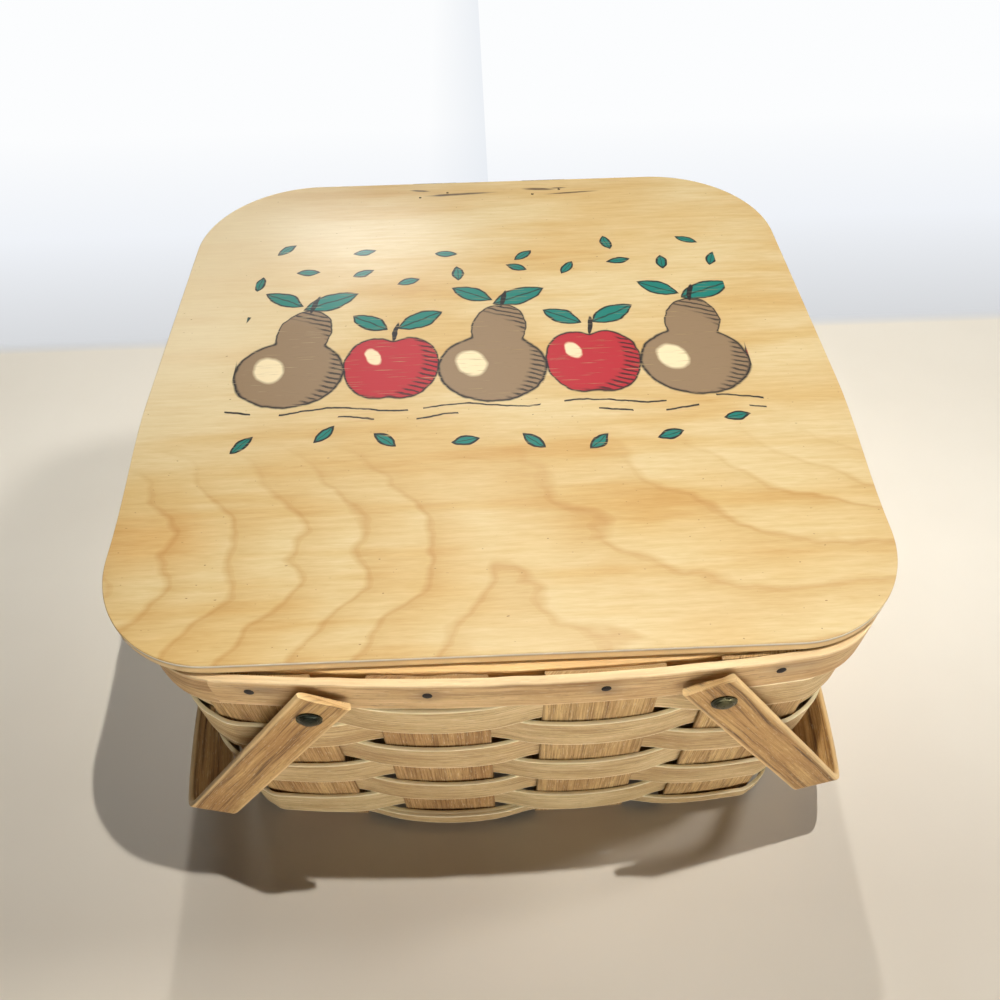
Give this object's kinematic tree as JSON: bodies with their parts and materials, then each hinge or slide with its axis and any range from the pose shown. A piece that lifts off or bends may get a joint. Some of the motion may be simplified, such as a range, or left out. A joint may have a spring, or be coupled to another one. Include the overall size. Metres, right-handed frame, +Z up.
{
  "type": "pie basket",
  "caption": "Low square splint basket woven over broad splints, with a flat hinged plywood lid, nailed rim hoops and two bent-strip swing handles on rivets.",
  "frame": {"origin": "middle of the base, on the surface that the basket stands on", "axes": "+Z up; -Y is the front, where the lid lifts; +Y is the hinge side; +X is the right-hand handle's side"},
  "size_m": [0.3356, 0.3432, 0.1683],
  "materials": {
    "splint_wood": "raw split wood, matte",
    "weaver_wood": "raw split wood, matte",
    "hoop_wood": "thin clear varnish",
    "handle_wood": "stained, satin",
    "lid_wood": "varnished plywood, satin",
    "aged_brass": "dark antique",
    "dark_iron": "blued and slightly rusted"
  },
  "bodies": {
    "basket": {"hinge_left_pin": "dark_iron", "hinge_left_rim_leaf": "dark_iron", "hinge_left_rim_nail_1": "dark_iron", "hinge_left_rim_nail_2": "dark_iron", "hinge_right_pin": "dark_iron", "hinge_right_rim_leaf": "dark_iron", "hinge_right_rim_nail_1": "dark_iron", "hinge_right_rim_nail_2": "dark_iron", "rim_hoop_inner": "hoop_wood", "rim_hoop_outer": "hoop_wood", "rim_nail_01": "dark_iron", "rim_nail_02": "dark_iron", "rim_nail_03": "dark_iron", "rim_nail_04": "dark_iron", "rim_nail_05": "dark_iron", "rim_nail_06": "dark_iron", "rim_nail_07": "dark_iron", "rim_nail_08": "dark_iron", "rim_nail_09": "dark_iron", "rim_nail_10": "dark_iron", "rim_nail_11": "dark_iron", "rim_nail_12": "dark_iron", "rim_nail_13": "dark_iron", "rim_nail_14": "dark_iron", "rivet_left_back": "aged_brass", "rivet_left_front": "aged_brass", "rivet_right_back": "aged_brass", "rivet_right_front": "aged_brass", "splint_crosswise_1": "splint_wood", "splint_crosswise_2": "splint_wood", "splint_crosswise_3": "splint_wood", "splint_crosswise_4": "splint_wood", "splint_lengthwise_1": "splint_wood", "splint_lengthwise_2": "splint_wood", "splint_lengthwise_3": "splint_wood", "splint_lengthwise_4": "splint_wood", "washer_left_back": "aged_brass", "washer_left_front": "aged_brass", "washer_right_back": "aged_brass", "washer_right_front": "aged_brass", "weaver_1": "weaver_wood", "weaver_2": "weaver_wood", "weaver_3": "weaver_wood", "weaver_4": "weaver_wood", "weaver_5": "weaver_wood", "weaver_6": "weaver_wood", "weaver_7": "weaver_wood"},
    "lid": {"hinge_left_lid_leaf": "dark_iron", "hinge_left_lid_nail_1": "dark_iron", "hinge_left_lid_nail_2": "dark_iron", "hinge_right_lid_leaf": "dark_iron", "hinge_right_lid_nail_1": "dark_iron", "hinge_right_lid_nail_2": "dark_iron", "lid": "lid_wood"},
    "handle_left": {"handle_left": "handle_wood"},
    "handle_right": {"handle_right": "handle_wood"}
  },
  "joints": [
    {"name": "lid_hinge", "type": "hinge", "parent": "basket", "child": "lid", "pos_m": [0, 0.16925, 0.1631], "axis": [-1, 0, 0], "range_deg": [0, 105]},
    {"name": "handle_left_swing", "type": "hinge", "parent": "basket", "child": "handle_left", "pos_m": [-0.07573, 0, 0.1473], "axis": [0, 1, 0], "range_deg": [0, 170]},
    {"name": "handle_right_swing", "type": "hinge", "parent": "basket", "child": "handle_right", "pos_m": [0.07573, 0, 0.1473], "axis": [0, -1, 0], "range_deg": [0, 170]}
  ]
}
